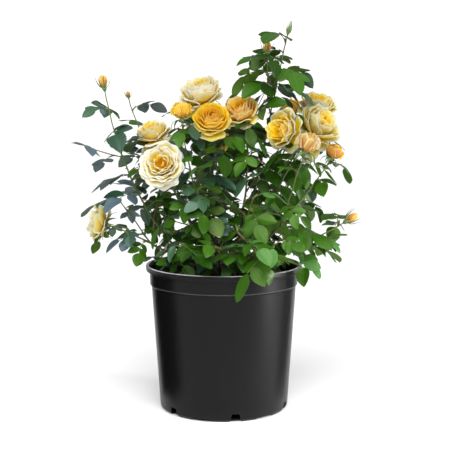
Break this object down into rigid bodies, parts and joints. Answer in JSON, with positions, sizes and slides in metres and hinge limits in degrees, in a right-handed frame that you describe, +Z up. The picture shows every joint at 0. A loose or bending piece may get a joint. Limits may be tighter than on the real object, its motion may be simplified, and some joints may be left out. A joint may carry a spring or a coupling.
{
  "type": "potted rose bush",
  "caption": "Shrub rose in flower, standing in its black plastic nursery pot.",
  "frame": {"origin": "centre of the pot's flat underside", "axes": "+Z up through the middle of the pot; -Y towards the side that faces the viewer, +X to the viewer's right"},
  "size_m": [0.5006, 0.3761, 0.6913],
  "materials": {
    "pot_plastic": "black blow-moulded plastic, satin, finely scuffed",
    "potting_mix": "damp bark and peat crumb, matte",
    "old_wood": "grey-brown fissured bark, matte",
    "cane_bark": "smooth green rind with reddish prickles, satin",
    "leaf": "dark green leaf, soft sheen above and paler below",
    "blossom": "yellow to cream petals, matte"
  },
  "bodies": {
    "root": {"pot": "pot_plastic", "soil": "potting_mix", "crown": "old_wood", "cane_far_left": "cane_bark", "cane_left_low": "cane_bark", "cane_left_front": "cane_bark", "cane_left_back": "cane_bark", "cane_mid_left": "cane_bark", "cane_middle": "cane_bark", "cane_middle_back": "cane_bark", "cane_mid_right": "cane_bark", "cane_tall": "cane_bark", "cane_right_upper": "cane_bark", "cane_right_outer": "cane_bark", "cane_right_low": "cane_bark", "cane_front_centre": "cane_bark", "cane_front_right": "cane_bark", "cane_back_left": "cane_bark", "cane_back_centre": "cane_bark", "cane_back_right": "cane_bark", "cane_back_low": "cane_bark", "spray_far_left": "leaf", "spray_left_low": "leaf", "spray_left_low_leafy": "leaf", "spray_left_front": "leaf", "spray_left_back": "leaf", "spray_left_bud": "leaf", "spray_rim_left": "leaf", "spray_mid_left": "leaf", "spray_middle": "leaf", "spray_middle_back": "leaf", "spray_mid_right": "leaf", "spray_tall": "leaf", "spray_tall_side": "leaf", "spray_right_upper": "leaf", "spray_right_back": "leaf", "spray_right_inner": "leaf", "spray_right_face": "leaf", "spray_right_outer": "leaf", "spray_right_half": "leaf", "spray_right_low": "leaf", "spray_right_sprawl": "leaf", "spray_front_left": "leaf", "spray_front_centre": "leaf", "spray_front_right": "leaf", "spray_inner_front": "leaf", "spray_inner_left": "leaf", "spray_back_left": "leaf", "spray_back_centre": "leaf", "spray_back_right": "leaf", "spray_back_low": "leaf", "spray_back_low_right": "leaf", "spray_back_low_left": "leaf"}
  },
  "joints": []
}
